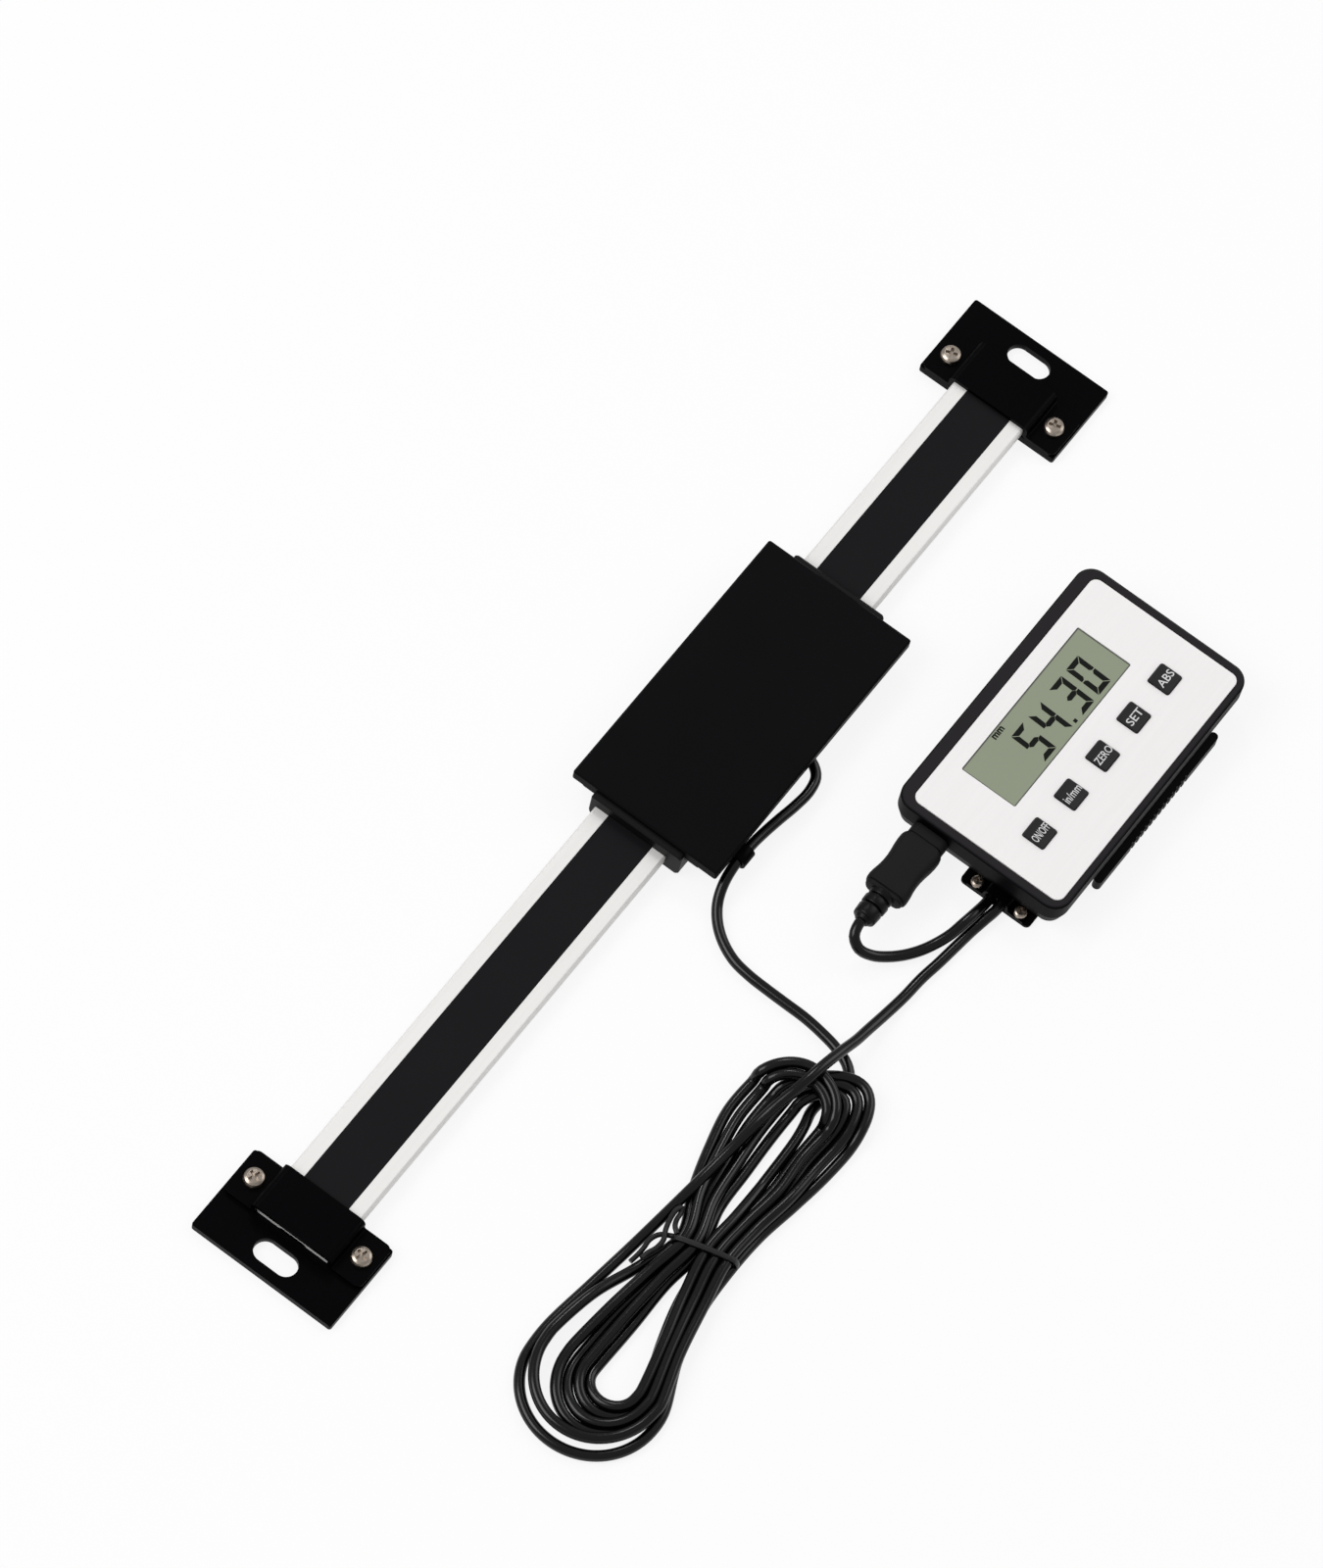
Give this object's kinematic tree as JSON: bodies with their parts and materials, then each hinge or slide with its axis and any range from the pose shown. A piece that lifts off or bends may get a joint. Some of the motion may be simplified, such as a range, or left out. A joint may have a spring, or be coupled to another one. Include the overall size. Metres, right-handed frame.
{
  "type": "linear scale with remote display",
  "caption": "Flat linear scale: beam with end brackets, reader head sliding on it, cord with a tied hank, and a remote display with keys and a battery door.",
  "frame": {"origin": "centre of the reader head's four fixing holes, on its back face", "axes": "+X along the beam, +Y across it away from the display, +Z out of the head's cover; the display reads along +X"},
  "size_m": [0.366, 0.1338, 0.0171],
  "materials": {
    "rail_metal": "satin anodised, clear",
    "circuit_board": "solder mask",
    "black_film": "matt film",
    "black_paint": "satin black paint",
    "satin_black": "fine satin black",
    "anodised_black": "black anodised",
    "nickel": "nickel plated",
    "gib_brass": "milled",
    "chip_plastic": "moulded",
    "black_rubber": "moulded",
    "cord_jacket": "smooth vinyl",
    "tie_plastic": "vinyl over wire",
    "plug_plastic": "moulded, satin",
    "case_plastic": "moulded, satin",
    "face_metal": "fine matt",
    "display_green": "reflective display",
    "key_plastic": "moulded, satin",
    "cell_wrap": "shrink wrap"
  },
  "bodies": {
    "head": {"head_cover": "satin_black", "head_body": "anodised_black", "wiper_left": "black_rubber", "wiper_right": "black_rubber", "gib": "gib_brass", "gib_screws": "nickel", "reading_board": "circuit_board", "reading_chip": "chip_plastic", "cover_screws": "nickel", "cord_bush": "black_rubber", "cord_clip": "black_paint", "clip_screw": "nickel", "head_cord": "cord_jacket", "hank": "cord_jacket", "hank_tie": "tie_plastic", "display_cord": "cord_jacket", "plug_boot": "black_rubber", "plug_grip": "plug_plastic", "plug_shell": "nickel", "case_front": "case_plastic", "case_back": "case_plastic", "case_screws": "nickel", "face_plate": "face_metal", "display_glass": "display_green", "display_window": "display_green", "main_board": "circuit_board", "key_domes": "nickel", "plug_socket": "nickel", "battery_cells": "cell_wrap", "cell_contacts": "nickel", "cord_tray": "case_plastic", "cord_saddle": "black_paint", "saddle_screws": "nickel"},
    "beam": {"beam": "rail_metal", "scale_board": "circuit_board", "scale_film": "black_film", "bracket_left": "black_paint", "bracket_right": "black_paint", "strap_left": "black_paint", "strap_right": "black_paint", "strap_screws_left": "nickel", "strap_screws_right": "nickel"},
    "key_power": {"key_power": "key_plastic"},
    "key_units": {"key_units": "key_plastic"},
    "key_zero": {"key_zero": "key_plastic"},
    "key_set": {"key_set": "key_plastic"},
    "key_abs": {"key_abs": "key_plastic"},
    "battery_door": {"battery_door": "case_plastic"}
  },
  "joints": [
    {"name": "beam_slide", "type": "slide", "parent": "head", "child": "beam", "axis": [1, 0, 0], "range_m": [-0.074, 0.137]},
    {"name": "key_power_press", "type": "slide", "parent": "head", "child": "key_power", "axis": [0, 0, -1], "range_m": [0, 0.0006], "stiffness_N_per_m": 1500, "springref_m": -0.0004},
    {"name": "key_units_press", "type": "slide", "parent": "head", "child": "key_units", "axis": [0, 0, -1], "range_m": [0, 0.0006], "stiffness_N_per_m": 1500, "springref_m": -0.0004},
    {"name": "key_zero_press", "type": "slide", "parent": "head", "child": "key_zero", "axis": [0, 0, -1], "range_m": [0, 0.0006], "stiffness_N_per_m": 1500, "springref_m": -0.0004},
    {"name": "key_set_press", "type": "slide", "parent": "head", "child": "key_set", "axis": [0, 0, -1], "range_m": [0, 0.0006], "stiffness_N_per_m": 1500, "springref_m": -0.0004},
    {"name": "key_abs_press", "type": "slide", "parent": "head", "child": "key_abs", "axis": [0, 0, -1], "range_m": [0, 0.0006], "stiffness_N_per_m": 1500, "springref_m": -0.0004},
    {"name": "battery_door_slide", "type": "slide", "parent": "head", "child": "battery_door", "axis": [0, -1, 0], "range_m": [0, 0.022]}
  ]
}
